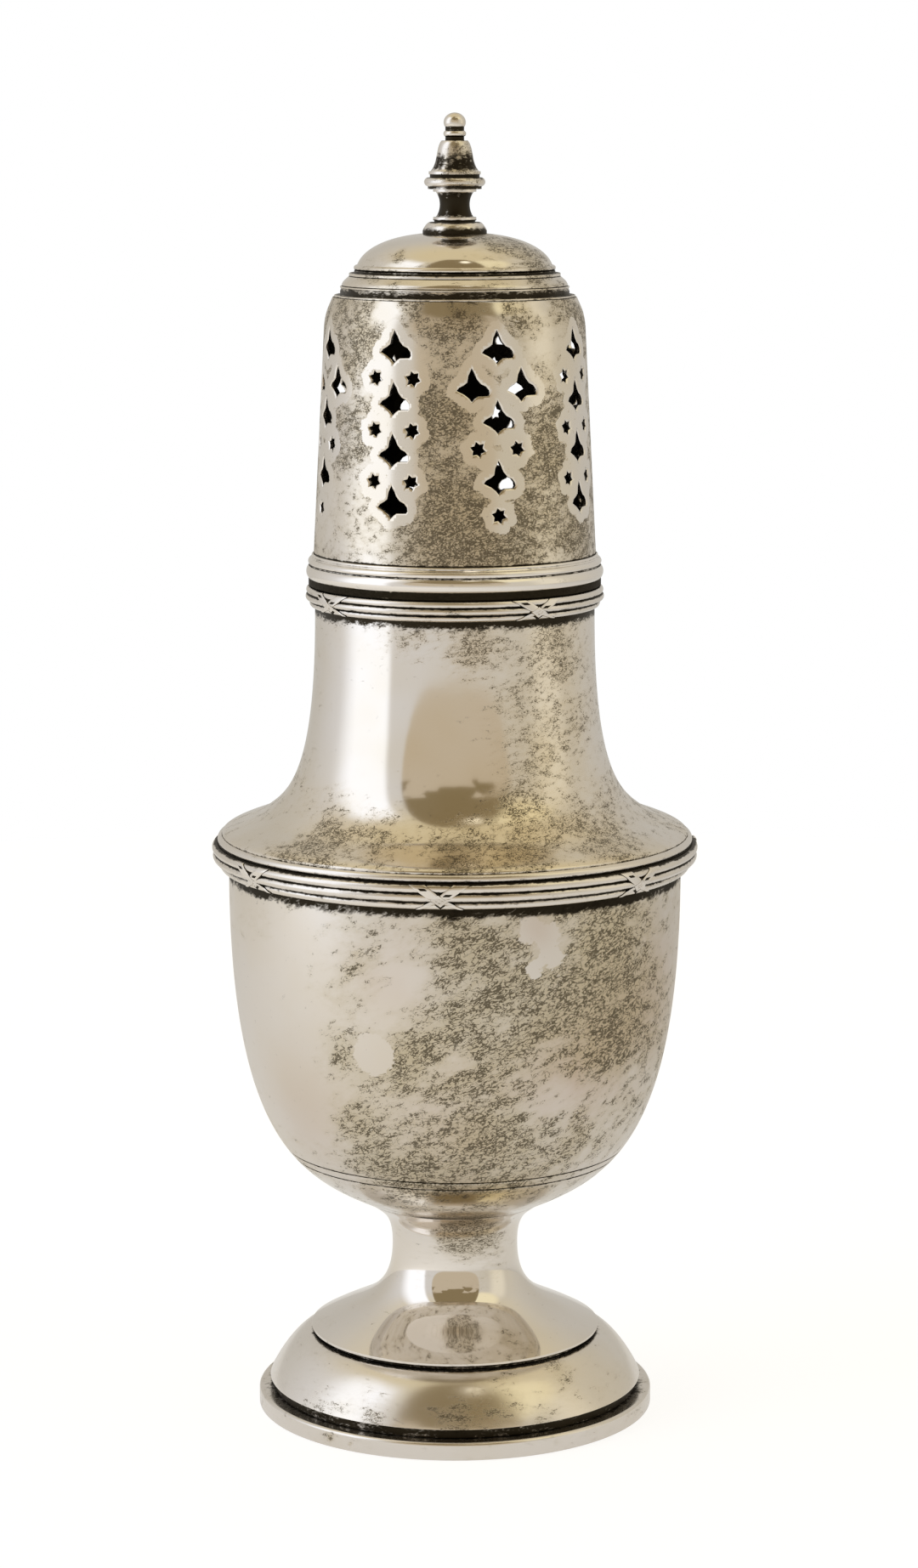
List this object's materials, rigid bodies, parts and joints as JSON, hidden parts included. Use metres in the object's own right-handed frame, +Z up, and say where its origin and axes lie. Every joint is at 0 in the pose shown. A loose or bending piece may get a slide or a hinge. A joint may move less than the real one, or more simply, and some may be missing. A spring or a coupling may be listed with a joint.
{
  "type": "sugar caster",
  "caption": "Footed urn-shaped sugar caster with a tall pierced cover that lifts off, for sprinkling sugar at the table.",
  "frame": {"origin": "centre of the foot's underside", "axes": "+Z up along the axis of the caster, -Y towards the viewer, +X to the viewer's right"},
  "size_m": [0.0667, 0.0668, 0.178],
  "materials": {
    "silver": "polished silver with brown tarnish",
    "silver_inside": "dulled silver"
  },
  "bodies": {
    "vessel": {"mouth_ring": "silver_inside", "neck_reeding": "silver", "neck_shell": "silver", "girdle_reeding": "silver", "bowl": "silver", "foot_stem": "silver", "foot_base": "silver", "foot_rim": "silver"},
    "cover": {"finial": "silver", "crown": "silver", "pierced_sleeve": "silver", "cover_rim": "silver", "slip_collar": "silver_inside"}
  },
  "joints": [
    {"name": "cover_lift", "type": "slide", "parent": "vessel", "child": "cover", "axis": [0, 0, 1], "range_m": [0, 0.06]}
  ]
}
